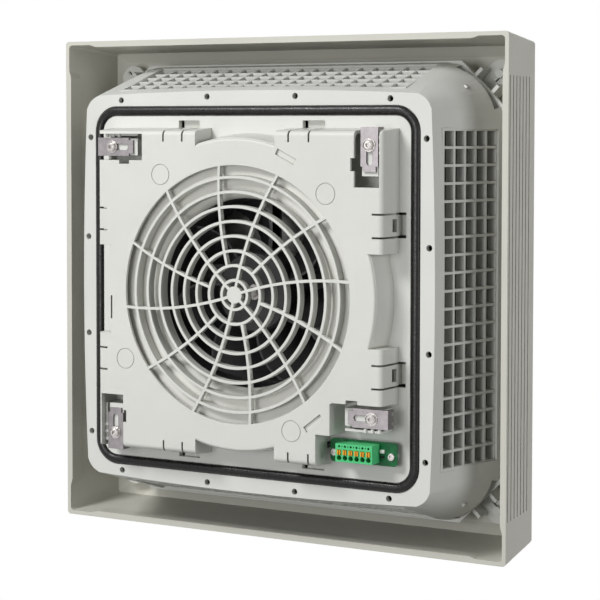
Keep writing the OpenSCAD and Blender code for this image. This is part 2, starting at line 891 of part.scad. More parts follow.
module tongue_latch() {
    outer = cover_foot - latch_in;
    width = tongue_w - slit_w - 2 * latch_in;
    nose = cover_foot + window_out + latch_nose;
    translate([0, tongue_at + width / 2, 0]) rotate([90, 0, 0]) linear_extrude(width) polygon([
        [outer - latch_t, cut], [outer, cut], [outer, -floor_t - play], [nose, -floor_t - play],
        [nose, -floor_t - play - latch_tip], [outer, -floor_t - latch_drop],
        [outer - latch_t, -floor_t - latch_drop]
    ]);
}

module grille() {
    for (k = [1 : grille_rings]) {
        r = k * grille_pitch;
        depth = grille_depth * (ring_depth_shares[0] + ring_depth_shares[1] * k / grille_rings);
        translate([0, 0, cover_h - depth]) difference() {
            cylinder(r = r + grille_rib / 2, h = depth, $fn = 120);
            translate([0, 0, -cut]) cylinder(r = r - grille_rib / 2, h = depth + 2 * cut, $fn = 120);
        }
    }
    translate([0, 0, cover_h - spoke_depth]) cylinder(r = star_r * star_disc_share, h = spoke_depth);
    full = 2 * asin((grille_r + cut / 2) / 2 / spoke_arc_r);
    for (k = [0 : grille_spokes - 1]) {
        start = 2 * asin((k % 2 == 0 ? star_r / 2 : 2 * grille_pitch) / 2 / spoke_arc_r);
        rotate([0, 0, k * 360 / grille_spokes - 90 - full / 2])
            translate([0, spoke_arc_r, cover_h - spoke_depth]) rotate([0, 0, -90 - full])
            rotate_extrude(angle = full - start, $fn = 360)
                translate([spoke_arc_r - grille_rib / 2, 0]) square([grille_rib, spoke_depth]);
    }
}

module face_details() {
    for (m = marks) {
        translate([m[0] * cover_foot, m[1] * cover_foot, cover_h - mark_d]) difference() {
            cylinder(r = mark_r, h = mark_d + cut);
            translate([0, 0, -cut]) cylinder(r = mark_r - mark_w, h = mark_d + 3 * cut);
        }
    }
    for (s = slots) {
        translate([s[0] * cover_foot, s[1] * cover_foot, cover_h - slot_d]) rotate([0, 0, s[2]])
            translate([-slot_len / 2, -slot_w / 2, 0]) cube([slot_len, slot_w, slot_d + cut]);
    }
    translate([-side_slit_at, -side_slit_mid - side_slit_len / 2, cover_h - cover_face_t - cut])
        cube([slit_w, side_slit_len, cover_face_t + 2 * cut]);
}

module grille_cover() turned_over() color("#D5D7D1") {
    difference() {
        cover_mass(0, cover_h);
        cover_mass(cover_wall, cover_h - cover_face_t);
        translate([-cover_w, -cover_w, -2 * cut]) cube([2 * cover_w, 2 * cover_w, 2 * cut]);
        translate([step_u - 2 * cover_wall, lead_hole[1] - lead_r - play, -cut])
            cube([4 * cover_wall, 2 * (lead_r + play), lead_run_w + lead_r + play + cut]);
        translate([0, 0, cover_h / 2]) cylinder(r = grille_r, h = cover_h, $fn = 180);
        for (i = [0 : 3]) {
            at_clamp(i) clamp_window();
        }
        four_sides() tongue_slits();
        four_sides() mirror([0, 1, 0]) tongue_slits();
        face_details();
    }
    four_sides() tongue_latch();
    four_sides() mirror([0, 1, 0]) tongue_latch();
    grille();
}

// Bell mouth between the grille and the fan, standing on the floor of the frame
module inlet_nozzle() turned_over() color("#DCDDD8") {
    bell_h = nozzle_shelf_w - nozzle_step - fan_front;
    rotate_extrude($fn = 180) polygon([
        [nozzle_out_r, 0], [nozzle_out_r, nozzle_shelf_w - nozzle_ease],
        [nozzle_out_r - nozzle_ease, nozzle_shelf_w],
        [nozzle_step_r, nozzle_shelf_w], [nozzle_step_r - nozzle_ease, nozzle_shelf_w - nozzle_step],
        for (a = [90 : 10 : 180])
            [nozzle_lip_r + nozzle_bell_r * cos(a), fan_front + bell_h * sin(a)],
        for (a = [180 : -15 : 90])
            [nozzle_lip_r + (nozzle_bell_r - nozzle_t) * cos(a), fan_front + (bell_h - nozzle_t) * sin(a)],
        [nozzle_step_r + nozzle_t - nozzle_ease, nozzle_shelf_w - nozzle_step - nozzle_t],
        [nozzle_step_r + nozzle_t, nozzle_shelf_w - nozzle_t],
        [nozzle_out_r - nozzle_t, nozzle_shelf_w - nozzle_t], [nozzle_out_r - nozzle_t, 0]
    ]);
}

module strut() {
    translate([base_disc_r - strut_sink, -strut_w / 2, fan_back + strut_step])
        cube([fan_bore_r - base_disc_r + strut_sink + strut_end, strut_w, strut_t - 2 * strut_step]);
}

module fan_frame() turned_over() color("#1D1D1F") difference() {
    union() {
        difference() {
            union() {
                translate([0, 0, fan_back]) cylinder(r = fan_body_r, h = fan_h, $fn = 120);
                cylinder(r = fan_flange_r, h = fan_flange_t, $fn = 120);
                for (a = [45 : 90 : 315]) {
                    rotate([0, 0, a]) {
                        translate([ear_hole_r, 0, 0]) cylinder(r = fan_ear_r, h = fan_flange_t);
                        translate([fan_body_r, -fan_ear_r, 0])
                            cube([ear_hole_r - fan_body_r, 2 * fan_ear_r, fan_flange_t]);
                    }
                }
            }
            translate([0, 0, fan_back - cut]) cylinder(r = fan_bore_r, h = fan_h + 2 * cut, $fn = 120);
        }
        translate([0, 0, fan_back]) cylinder(r = base_disc_r, h = strut_t);
        translate([0, 0, fan_back]) cylinder(r = tube_r, h = tube_front - fan_back);
        for (k = [0 : struts - 1]) {
            rotate([0, 0, strut_turn + k * 360 / struts]) strut();
        }
    }
    translate([0, 0, fan_back + tube_end_t]) cylinder(r = bearing_r + fit, h = fan_h);
    fan_screw_holes(-cut, fan_flange_t + 2 * cut, fan_screw_d / 2 + play);
    translate(lead_route[0] + [0, lead_back, 0]) rotate([90, 0, 0])
        cylinder(r = lead_r + play, h = lead_entry);
}

module fan_screws() turned_over() color("#B9BBBD") {
    for (a = [45 : 90 : 315]) {
        rotate([0, 0, a]) translate([ear_hole_r, 0, fan_flange_t])
            pan_screw(fan_screw_d, fan_screw_len, true);
    }
}

module bearing(level) {
    translate([0, 0, level]) difference() {
        cylinder(r = bearing_r, h = bearing_h);
        translate([0, 0, -cut]) cylinder(r = shaft_d / 2 + fit, h = bearing_h + 2 * cut);
        for (z = [-cut, bearing_h - race_d]) {
            translate([0, 0, z]) difference() {
                cylinder(r = bearing_r - race_wall, h = race_d + cut);
                translate([0, 0, -cut]) cylinder(r = shaft_d / 2 + race_wall, h = race_d + 3 * cut);
            }
        }
    }
}

module front_bearing() turned_over() color("#C4C6C8") bearing(tube_front - bearing_h);

module rear_bearing() turned_over() color("#C4C6C8") bearing(rear_bearing_w);

// Laminated core with its winding heads
module stator() turned_over() color("#8C4A2A") difference() {
    union() {
        translate([0, 0, stator_back + coil_h]) difference() {
            cylinder(r = stator_r, h = stator_front - stator_back - 2 * coil_h);
            for (k = [0 : stator_slots - 1]) {
                rotate([0, 0, k * 360 / stator_slots])
                    translate([stator_r - stator_slot_d, -stator_slot_w / 2, -cut])
                        cube([stator_slot_d + cut, stator_slot_w, stator_front - stator_back + 2 * cut]);
            }
        }
        translate([0, 0, stator_back]) difference() {
            cylinder(r = stator_r - coil_out, h = stator_front - stator_back);
            translate([0, 0, -cut]) cylinder(r = tube_r + coil_in, h = coil_h + cut);
        }
    }
    translate([0, 0, stator_back - cut]) cylinder(r = tube_r + fit, h = stator_front - stator_back + 2 * cut);
}

module rotor_cup() turned_over() color("#3A3B3D") difference() {
    translate([0, 0, cup_back]) cylinder(r = cup_r, h = cup_front - cup_back, $fn = 96);
    translate([0, 0, cup_back - cut])
        cylinder(r = cup_r - cup_wall, h = cup_front - cup_back - cup_wall + cut, $fn = 96);
    translate([0, 0, cup_back]) cylinder(r = shaft_d / 2 + fit, h = cup_front - cup_back + cut);
}

module rotor_shaft() turned_over() color("#D9DADB") difference() {
    union() {
        translate([0, 0, shaft_back]) cylinder(d = shaft_d, h = shaft_front - shaft_back - shaft_chamfer);
        translate([0, 0, shaft_front - shaft_chamfer])
            cylinder(d1 = shaft_d, d2 = shaft_d - 2 * shaft_chamfer, h = shaft_chamfer);
    }
    translate([0, 0, clip_w - fit]) difference() {
        cylinder(r = shaft_d, h = clip_t + 2 * fit);
        translate([0, 0, -cut]) cylinder(r = shaft_d / 2 - clip_bite, h = clip_t + 2 * cut);
    }
}

module shaft_clip() turned_over() color("#4A4B4D") translate([0, 0, clip_w]) difference() {
    cylinder(r = clip_r, h = clip_t);
    translate([0, 0, -cut]) cylinder(r = shaft_d / 2 - clip_bite + fit, h = clip_t + 2 * cut);
    translate([0, -clip_gap / 2, -cut]) cube([clip_r + cut, clip_gap, clip_t + 2 * cut]);
}

// One sickle blade, seen along the axis, as a curved strip between the hub and the tip circle
function blade_r(t) = hub_r - blade_root + t * (tip_r - hub_r + blade_root);
function blade_turn(t) = blade_bow * t * t;
module blade_outline() {
    steps = blade_points;
    polygon([
        for (k = [0 : steps]) let (t = k / steps, a = blade_turn(t) + blade_half / blade_r(t))
            [blade_r(t) * cos(a), blade_r(t) * sin(a)],
        for (k = [steps : -1 : 0]) let (t = k / steps, a = blade_turn(t) - blade_half / blade_r(t))
            [blade_r(t) * cos(a), blade_r(t) * sin(a)]
    ]);
}

module impeller() turned_over() color("#161617") {
    difference() {
        union() {
            translate([0, 0, cup_back]) cylinder(r = hub_r, h = hub_front - cup_back - hub_edge, $fn = 96);
            translate([0, 0, hub_front - hub_edge])
                cylinder(r1 = hub_r, r2 = hub_r - hub_edge, h = hub_edge, $fn = 96);
        }
        translate([0, 0, cup_back - cut]) cylinder(r = cup_r + fit, h = cup_front - cup_back + cut, $fn = 96);
        translate([0, 0, cup_front - cut]) cylinder(r = shaft_d / 2 + shaft_hole_gap, h = 2 * fan_h);
    }
    for (k = [0 : fan_blades - 1]) {
        rotate([0, 0, k * 360 / fan_blades]) translate([0, 0, cup_back + blade_lift])
            linear_extrude(blade_h, twist = blade_twist, slices = blade_slices, $fn = blade_edges)
                blade_outline();
    }
}

// Directions along a route: each point looks from the one before it to the one after it
function unit(v) = v / norm(v);
function heading(route, k) = unit(route[min(k + 1, len(route) - 1)] - route[max(k - 1, 0)]);
function ring_point(route, k, j) = let (
    along = heading(route, k),
    side = unit(cross(along, lead_side)),
    other = cross(side, along),
    a = 360 * j / lead_edges
) route[k] + lead_r * (side * cos(a) + other * sin(a));

// Lead from the fan, through the floor, to the underside of the board, as one swept tube
module fan_lead() turned_over() color("#2A2A2C") {
    rings = len(lead_route);
    polyhedron(
        points = [
            for (k = [0 : rings - 1]) for (j = [0 : lead_edges - 1]) ring_point(lead_route, k, j)
        ],
        faces = [
            [for (j = [0 : lead_edges - 1]) j],
            for (k = [0 : rings - 2]) for (j = [0 : lead_edges - 1]) let (
                a = k * lead_edges + j,
                b = k * lead_edges + (j + 1) % lead_edges
            ) [a, a + lead_edges, b + lead_edges, b],
            [for (j = [lead_edges - 1 : -1 : 0]) (rings - 1) * lead_edges + j]
        ]
    );
}

module clamp_plate(i) turned_over() color("#BDBEC0") at_clamp(i) {
    translate([0, 0, plate_w_level]) linear_extrude(clamp_t) difference() {
        union() {
            translate([plate_step_l - plate_inner, -clamp_w / 2])
                square([plate_outer + plate_inner - plate_step_l, clamp_w]);
            translate([-plate_inner, -plate_step_w / 2]) square([plate_inner, plate_step_w]);
        }
        circle(d = clamp_slot_w);
        translate([-clamp_travel, 0]) circle(d = clamp_slot_w);
        translate([-clamp_travel, -clamp_slot_w / 2]) square([clamp_travel, clamp_slot_w]);
    }
    difference() {
        translate([plate_outer - clamp_t, -clamp_w / 2, plate_w_level - claw_h])
            cube([clamp_t, clamp_w, claw_h + clamp_t / 2]);
        for (s = [-1, 1]) {
            translate([plate_outer - clamp_t, s * clamp_w / 4 - claw_notch / 2, plate_w_level - claw_h])
                translate([-cut, 0, -cut]) cube([clamp_t + 2 * cut, claw_notch, claw_notch + cut]);
        }
    }
}

module clamp_screws() turned_over() color("#C9CBCD") {
    for (i = [0 : 3]) {
        at_clamp(i) translate([0, 0, screw_seat_w]) pan_screw(clamp_screw_d, clamp_screw_len, true);
    }
}

module clamp_washers() turned_over() color("#A9ABAD") {
    for (i = [0 : 3]) {
        at_clamp(i) translate([0, 0, plate_w_level + clamp_t]) difference() {
            cylinder(r = washer_r, h = washer_t);
            translate([0, 0, -cut]) cylinder(r = clamp_screw_d / 2 + screw_play, h = washer_t + 2 * cut);
        }
    }
}

module clamp_inserts() turned_over() color("#C8A14A") {
    for (i = [0 : 3]) {
        at_clamp(i) translate([0, 0, plate_w_level - insert_h]) difference() {
            cylinder(r = insert_r, h = insert_h);
            translate([0, 0, -cut]) cylinder(r = clamp_screw_d / 2 + fit, h = insert_h + 2 * cut);
        }
    }
}

module terminal_board() turned_over() color("#0F8A50") translate([0, 0, board_level])
    linear_extrude(board_t) difference() {
        translate([board_u + board_l / 2, -board_v - board_w / 2]) union() {
            square([board_l - 2 * board_r, board_w], center = true);
            square([board_l, board_w - 2 * board_r], center = true);
            for (x = [-1, 1]) {
                for (y = [-1, 1]) {
                    translate([x * (board_l / 2 - board_r), y * (board_w / 2 - board_r)]) circle(r = board_r);
                }
            }
        }
        for (p = board_screw_places) {
            translate([p[0], p[1]]) circle(d = board_screw_d + 2 * screw_play);
        }
        for (k = [0 : poles - 1]) {
            translate([pole_u(k), -block_v - pin_at]) circle(r = pin_r + pin_play, $fn = 24);
        }
    }

function pole_u(k) = block_u + block_end + (k + half_share) * pole_pitch;

// Row of single-pole housings, of which the two outer ones carry the end walls
module terminal_block() turned_over() color("#57CF87") difference() {
    for (k = [0 : poles - 1]) {
        from = k == 0 ? block_u : pole_u(k) - (pole_pitch - block_seam) / 2;
        to = k == poles - 1 ? block_u + block_l : pole_u(k) + (pole_pitch - block_seam) / 2;
        translate([from, -block_v - block_d, board_level + board_t]) cube([to - from, block_d, block_h]);
    }
    for (k = [0 : poles - 1]) {
        translate([pole_u(k), -block_v, 0]) {
            translate([0, -wire_at, block_top - wire_deep])
                cylinder(r = wire_r, h = wire_deep + cut, $fn = 32);
            translate([-lever_w / 2 - lever_play, -lever_at - lever_l / 2 - lever_play, block_top - lever_well])
                cube([lever_w + 2 * lever_play, lever_l + 2 * lever_play, lever_well + cut]);
            translate([0, -test_at, block_top - test_deep])
                cylinder(r = test_r, h = test_deep + cut, $fn = 24);
            translate([0, -pin_at, board_level])
                cylinder(r = pin_r + pin_grip, h = board_t + pin_up, $fn = 24);
        }
    }
    for (k = [1 : poles - 1]) {
        translate([pole_u(k) - pole_pitch / 2, -block_v - test_at, block_top - test_deep])
            cylinder(r = small_test_r, h = test_deep + cut, $fn = 16);
    }
}

module terminal_pins() turned_over() color("#C9CBCD") {
    for (k = [0 : poles - 1]) {
        translate([pole_u(k), -block_v - pin_at, board_level - pin_below])
            cylinder(r = pin_r, h = pin_below + board_t + pin_up, $fn = 24);
    }
}

// Leaf springs at the foot of the lever wells
module contact_springs() turned_over() color("#C98B4A") {
    for (k = [0 : poles - 1]) {
        translate([pole_u(k) - spring_w / 2, -block_v - lever_at, block_top - lever_well])
            rotate([90, 0, 90]) linear_extrude(spring_w) polygon([
                [-spring_run, 0], [spring_run, 0], [spring_run, spring_t], [spring_t - spring_run, spring_t],
                [spring_run, spring_rise - spring_t], [spring_run, spring_rise], [-spring_run, 2 * spring_t]
            ]);
    }
}

module release_lever(k) turned_over() color("#F0A830")
    translate([pole_u(k) - lever_w / 2, -block_v - lever_at - lever_l / 2, block_top + lever_proud - lever_h])
        difference() {
            cube([lever_w, lever_l, lever_h]);
            translate([lever_w / 2 - slot_mark / 2, -cut, lever_h - slot_mark])
                cube([slot_mark, lever_l + 2 * cut, slot_mark + cut]);
        }

module board_screws() turned_over() color("#C9CBCD") {
    for (p = board_screw_places) {
        translate([p[0], p[1], board_level + board_t]) pan_screw(board_screw_d, board_screw_len, true);
    }
}

hood();
hood_stud(0);  // hood_stud_1
hood_stud(1);  // hood_stud_2
hood_stud(2);  // hood_stud_3
hood_stud(3);  // hood_stud_4
base_frame();
top_plate();
top_plate_screws();
mounting_gasket();
filter_mat(0);  // filter_mat_1
filter_mat(1);  // filter_mat_2
filter_mat(2);  // filter_mat_3
filter_mat(3);  // filter_mat_4
inlet_nozzle();
grille_cover();
fan_frame();
fan_screws();
stator();
front_bearing();
rear_bearing();
rotor_cup();
rotor_shaft();
impeller();
shaft_clip();
fan_lead();
clamp_plate(0);  // clamp_plate_1
clamp_plate(1);  // clamp_plate_2
clamp_plate(2);  // clamp_plate_3
clamp_plate(3);  // clamp_plate_4
clamp_screws();
clamp_washers();
clamp_inserts();
terminal_board();
terminal_block();
terminal_pins();
contact_springs();
board_screws();
release_lever(0);  // release_lever_1
release_lever(1);  // release_lever_2
release_lever(2);  // release_lever_3
release_lever(3);  // release_lever_4
release_lever(4);  // release_lever_5
release_lever(5);  // release_lever_6
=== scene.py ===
"""Enclosure roof fan, seen from inside the enclosure: finishes, soft parts, small fittings and studio."""

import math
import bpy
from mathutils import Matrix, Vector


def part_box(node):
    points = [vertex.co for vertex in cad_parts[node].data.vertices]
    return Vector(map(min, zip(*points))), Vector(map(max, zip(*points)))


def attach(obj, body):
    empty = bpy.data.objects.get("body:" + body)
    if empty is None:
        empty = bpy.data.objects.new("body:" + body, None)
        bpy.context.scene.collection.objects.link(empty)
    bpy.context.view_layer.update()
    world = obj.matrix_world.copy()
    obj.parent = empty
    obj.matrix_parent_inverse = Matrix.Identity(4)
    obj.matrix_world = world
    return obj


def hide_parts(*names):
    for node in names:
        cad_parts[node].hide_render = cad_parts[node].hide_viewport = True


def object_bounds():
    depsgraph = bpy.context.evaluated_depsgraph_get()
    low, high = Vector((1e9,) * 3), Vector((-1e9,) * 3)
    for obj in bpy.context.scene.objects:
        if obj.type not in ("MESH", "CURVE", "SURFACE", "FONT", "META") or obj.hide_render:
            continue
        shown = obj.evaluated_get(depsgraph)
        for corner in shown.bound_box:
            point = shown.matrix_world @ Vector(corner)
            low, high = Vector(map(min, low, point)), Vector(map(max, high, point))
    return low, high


bl_info = {
    "name": "Roof Fan Finishes",
    "version": (1, 0, 0),
    "blender": (4, 5, 0),
    "location": "View3D > Sidebar > Roof Fan",
    "description": "Dresses a packed enclosure roof fan with materials, seals, mats, fittings and a studio",
    "category": "Object",
}

import bpy
from mathutils import Matrix, Vector

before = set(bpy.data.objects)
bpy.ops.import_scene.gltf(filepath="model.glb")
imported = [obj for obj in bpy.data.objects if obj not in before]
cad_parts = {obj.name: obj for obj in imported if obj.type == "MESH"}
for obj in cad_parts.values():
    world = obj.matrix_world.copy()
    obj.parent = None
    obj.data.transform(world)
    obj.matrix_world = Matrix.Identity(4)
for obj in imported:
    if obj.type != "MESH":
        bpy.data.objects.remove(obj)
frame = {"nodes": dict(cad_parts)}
CAD_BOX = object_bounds()
MM = 0.001
CORNERS = range(1, 5)
POLES = range(1, 7)

# Spacing of surface marks, in metres.
FLOW_MARKS = 0.09
POLISH_PATCHES = 0.012
FOAM_RIPPLES = 0.006
FOAM_SKIN = 0.003
FOAM_CELLS = 0.0022
FAN_SWIRLS = 0.02
FAN_PATCHES = 0.004
FAN_GRAIN = 0.001
ZINC_BLOOM = 0.004
ZINC_HAZE = 0.0015
ZINC_GRAIN = 0.0008
COPPER_AREAS = 0.006

# Depth of surface marks, in metres.
GRAIN_DEPTH = 0.00004
FOAM_DEPTH = 0.0003
FELT_DEPTH = 0.0012
FAN_DEPTH = 0.00005
ZINC_DEPTH = 0.00004
COPPER_DEPTH = 0.00004

# Radius of edges as light catches them, in metres.
FAN_EDGE = 0.0004
ZINC_EDGE = 0.00025

# Reach of the painted shade and dust out of a corner in metres, and the share of light, green and blue that
# they leave: the darkening is painted shade, the warm tint is dust.
SHADE_AND_DUST_REACH = 0.0035
SHADE_AND_DUST_LIGHT = 0.42
SHADE_AND_DUST_GREEN = 0.93
SHADE_AND_DUST_BLUE = 0.8

# How far apart points are merged, in metres, and the angle below which faces count as one.
WELD = 0.01 * MM
FINE_WELD = 0.001 * MM
FLAT_ANGLE = math.radians(1)

# Steps round a corner of the bead and round its section, cuts along its sides and in the edges of a mat.
BEAD_CORNER_STEPS = 12
BEAD_SECTION_STEPS = 5
BEAD_CUTS = 90
MAT_CUTS = 64

# Spacing of the lumps in the bead's skin, in metres.
BEAD_LUMPS = 0.007


def settings():
    return bpy.context.scene.roof_fan_sizes


def tones():
    return bpy.context.scene.roof_fan_tones


class RoofFanSizes(bpy.types.PropertyGroup):
    """Real sizes of what the finishes add or repeat."""

    grain: bpy.props.FloatProperty(
        name="Moulded grain",
        description="Spacing of the spark-eroded grain on the grey mouldings",
        default=0.0012,
        unit="LENGTH",
    )
    edge: bpy.props.FloatProperty(
        name="Edge rounding",
        description="Radius of the edges of the mouldings, as light catches them",
        default=0.0005,
        unit="LENGTH",
    )
    fibre: bpy.props.FloatProperty(
        name="Mat fibre",
        description="Spacing of the fibre tufts on the filter mats",
        default=0.0035,
        unit="LENGTH",
    )
    mat_tuft: bpy.props.FloatProperty(
        name="Mat tufts",
        description="Height of the tufts of a filter mat",
        default=0.0014,
        unit="LENGTH",
    )
    bead_width: bpy.props.FloatProperty(
        name="Bead width",
        description="Width of the foamed bead",
        default=0.0076,
        unit="LENGTH",
    )
    bead_corner: bpy.props.FloatProperty(
        name="Bead corner",
        description="Outer corner radius of the foamed bead",
        default=0.021,
        unit="LENGTH",
    )
    bead_wave: bpy.props.FloatProperty(
        name="Bead wave",
        description="How far the foamed bead wanders from its true width",
        default=0.00015,
        unit="LENGTH",
    )
    floor_size: bpy.props.FloatProperty(
        name="Floor",
        description="Side of the studio floor",
        default=6.0,
        unit="LENGTH",
    )
    lens: bpy.props.FloatProperty(
        name="Lens",
        description="Focal length of the camera in millimetres on a 36 mm sensor",
        default=110.38,
        subtype="NONE",
    )
    shift: bpy.props.FloatProperty(
        name="Shift",
        description="Vertical shift of the camera, as a share of the frame",
        default=-0.15,
    )


class RoofFanTones(bpy.types.PropertyGroup):
    """Colours as sRGB hex values."""

    hood: bpy.props.StringProperty(name="Hood", description="Light grey hood", default="#CBCAC0")
    frame: bpy.props.StringProperty(name="Frame", description="Light grey frame", default="#D8D9D4")
    cover: bpy.props.StringProperty(name="Cover", description="Light grey cover", default="#D8D9D3")
    nozzle: bpy.props.StringProperty(name="Nozzle", description="Near white bell mouth", default="#DCDCD6")
    foam: bpy.props.StringProperty(name="Foam", description="Black foamed bead", default="#0B0A09")
    mat: bpy.props.StringProperty(name="Mat", description="Grey filter fibre", default="#34352F")
    fan: bpy.props.StringProperty(name="Fan", description="Black fan plastic", default="#1B1B1C")
    zinc: bpy.props.StringProperty(name="Zinc", description="Zinc plated steel", default="#C6C2BF")
    plate: bpy.props.StringProperty(name="Plates", description="Dull zinc of the clamps", default="#8F8A8C")
    board: bpy.props.StringProperty(name="Board", description="Green solder mask", default="#065A30")
    block: bpy.props.StringProperty(name="Block", description="Light green block", default="#55C983")
    lever: bpy.props.StringProperty(name="Lever", description="Orange levers", default="#F0A62C")
    copper: bpy.props.StringProperty(name="Copper", description="Copper strip and wire", default="#B5713C")
    brass: bpy.props.StringProperty(name="Brass", description="Brass inserts", default="#C9A552")
    backdrop: bpy.props.StringProperty(name="Backdrop", description="Studio white", default="#FFFFFF")


def linear(code):
    """The linear colour of an sRGB hex value."""
    parts = [int(code[i : i + 2], 16) / 255 for i in (1, 3, 5)]
    return tuple(c / 12.92 if c <= 0.04045 else ((c + 0.055) / 1.055) ** 2.4 for c in parts) + (1.0,)


def toned(code, share):
    """A colour darkened or lightened by a share, as a linear colour."""
    return tuple(min(1.0, c * share) for c in linear(code)[:3]) + (1.0,)


def add(tree, kind, props=None, values=None, links=None):
    """Adds a node to a tree with its settings, input values and links."""
    made = tree.nodes.new(kind)
    for key, value in (props or {}).items():
        setattr(made, key, value)
    for key, value in (values or {}).items():
        made.inputs[key].default_value = value
    for key, socket in (links or {}).items():
        tree.links.new(socket, made.inputs[key])
    return made


def surface(name):
    """A new material, its tree, its one shader and its object coordinates."""
    material = bpy.data.materials.new(name)
    material.use_nodes = True
    tree = material.node_tree
    tree.nodes.clear()
    out = add(tree, "ShaderNodeOutputMaterial")
    shader = add(tree, "ShaderNodeBsdfPrincipled")
    tree.links.new(shader.outputs["BSDF"], out.inputs["Surface"])
    place = add(tree, "ShaderNodeTexCoord").outputs["Object"]
    return material, tree, shader, place


def noise(tree, place, size, detail=3.0, roughness=0.55):
    """A noise whose lumps are about size metres across."""
    return add(
        tree,
        "ShaderNodeTexNoise",
        values={"Scale": 1 / size, "Detail": detail, "Roughness": roughness},
        links={"Vector": place},
    ).outputs["Fac"]


def spread(tree, source, low, high, start=0.3, end=0.7):
    """Maps a grey value to a range."""
    return add(
        tree,
        "ShaderNodeMapRange",
        values={"From Min": start, "From Max": end, "To Min": low, "To Max": high},
        links={"Value": source},
    ).outputs["Result"]


def blended(tree, factor, low, high):
    """Mixes two linear colours, or the sockets that give them, by a grey value."""
    mix = add(tree, "ShaderNodeMix", props={"data_type": "RGBA"})
    for key, value in (("A", low), ("B", high)):
        if isinstance(value, bpy.types.NodeSocket):
            tree.links.new(value, mix.inputs[key])
        else:
            mix.inputs[key].default_value = value
    tree.links.new(factor, mix.inputs["Factor"])
    return mix.outputs["Result"]


def soft_edge(tree, radius):
    """The surface direction with its edges rounded."""
    return add(tree, "ShaderNodeBevel", props={"samples": 4}, values={"Radius": radius}).outputs["Normal"]


def gap_dust_and_shade(tree, code, clean):
    """Darkens a colour inside narrow grooves and corners as painted shade, and warms it there as dust."""
    open_sky = add(
        tree,
        "ShaderNodeAmbientOcclusion",
        props={"samples": 6, "only_local": True},
        values={"Distance": SHADE_AND_DUST_REACH},
    ).outputs["AO"]
    # The painted shade colour: the tone darkened, with a warm dust tint.
    red, green, blue, alpha = toned(code, SHADE_AND_DUST_LIGHT)
    dusty_shade = (red, green * SHADE_AND_DUST_GREEN, blue * SHADE_AND_DUST_BLUE, alpha)
    return blended(tree, spread(tree, open_sky, 0, 1, start=0.2, end=0.7), dusty_shade, clean)


def moulded(name, code, grain, edge, roughness=0.42):
    """Injection-moulded ABS: even light grey, fine eroded grain, faint flow marks, soft edges, and painted
    shade with a warm dust tint in its grooves and corners.
    """
    material, tree, shader, place = surface(name)
    flow = noise(tree, place, FLOW_MARKS, detail=2.0)
    patch = noise(tree, place, POLISH_PATCHES, detail=4.0)
    clean = blended(tree, spread(tree, flow, 0, 1), toned(code, 0.955), toned(code, 1.02))
    # Base colour: flow marks, darkened in grooves, slots and gaps by painted shade with a warm dust tint.
    tree.links.new(gap_dust_and_shade(tree, code, clean), shader.inputs["Base Color"])
    polish = spread(tree, patch, roughness - 0.05, roughness + 0.06)
    tree.links.new(polish, shader.inputs["Roughness"])
    eroded = noise(tree, place, grain, detail=2.0, roughness=0.7)
    bump = add(
        tree,
        "ShaderNodeBump",
        values={"Strength": 0.35, "Distance": GRAIN_DEPTH},
        links={"Height": eroded, "Normal": soft_edge(tree, edge)},
    )
    tree.links.new(bump.outputs["Normal"], shader.inputs["Normal"])
    shader.inputs["IOR"].default_value = 1.52
    shader.inputs["Specular IOR Level"].default_value = 0.22
    return material


def foamed(name, code):
    """Foamed polyurethane: black, with the glossy skin it forms against air and a slow ripple."""
    material, tree, shader, place = surface(name)
    ripple = noise(tree, place, FOAM_RIPPLES)
    black = blended(tree, spread(tree, ripple, 0, 1), toned(code, 0.8), toned(code, 1.5))
    tree.links.new(black, shader.inputs["Base Color"])
    skin = spread(tree, noise(tree, place, FOAM_SKIN), 0.22, 0.4)
    tree.links.new(skin, shader.inputs["Roughness"])
    bump = add(
        tree,
        "ShaderNodeBump",
        values={"Strength": 0.5, "Distance": FOAM_DEPTH},
        links={"Height": noise(tree, place, FOAM_CELLS)},
    )
    tree.links.new(bump.outputs["Normal"], shader.inputs["Normal"])
    shader.inputs["IOR"].default_value = 1.5
    shader.inputs["Specular IOR Level"].default_value = 0.3
    return material


def felted(name, code, fibre):
    """Non-woven polyester: dull grey tufts with dark gaps, coarser than real fibres so that they show."""
    material, tree, shader, place = surface(name)
    stretch = {"Scale": (1.0, 1.0, 0.28)}
    drawn = add(tree, "ShaderNodeMapping", values=stretch, links={"Vector": place}).outputs["Vector"]
    tuft = noise(tree, drawn, fibre, detail=5.0, roughness=0.7)
    fleck = noise(tree, place, fibre / 3, detail=4.0, roughness=0.75)
    joined = add(
        tree,
        "ShaderNodeMath",
        props={"operation": "MULTIPLY"},
        links={0: tuft, 1: fleck},
    ).outputs["Value"]
    tufted = spread(tree, joined, 0, 1, start=0.14, end=0.36)
    grey = blended(tree, tufted, toned(code, 0.25), toned(code, 1.1))
    tree.links.new(grey, shader.inputs["Base Color"])
    relief = {"Strength": 0.9, "Distance": FELT_DEPTH}
    bump = add(tree, "ShaderNodeBump", values=relief, links={"Height": joined})
    tree.links.new(bump.outputs["Normal"], shader.inputs["Normal"])
    shader.inputs["Roughness"].default_value = 0.95
    shader.inputs["Sheen Weight"].default_value = 0.2
    return material


def glass_filled(name, code):
    """Glass-filled PBT of the fan: near black, satin, with faint swirl from moulding."""
    material, tree, shader, place = surface(name)
    swirl = noise(tree, place, FAN_SWIRLS, detail=4.0)
    black = blended(tree, spread(tree, swirl, 0, 1), toned(code, 0.75), toned(code, 1.7))
    tree.links.new(black, shader.inputs["Base Color"])
    satin = spread(tree, noise(tree, place, FAN_PATCHES), 0.34, 0.5)
    tree.links.new(satin, shader.inputs["Roughness"])
    bump = add(
        tree,
        "ShaderNodeBump",
        values={"Strength": 0.3, "Distance": FAN_DEPTH},
        links={"Height": noise(tree, place, FAN_GRAIN, detail=2.0), "Normal": soft_edge(tree, FAN_EDGE)},
    )
    tree.links.new(bump.outputs["Normal"], shader.inputs["Normal"])
    return material


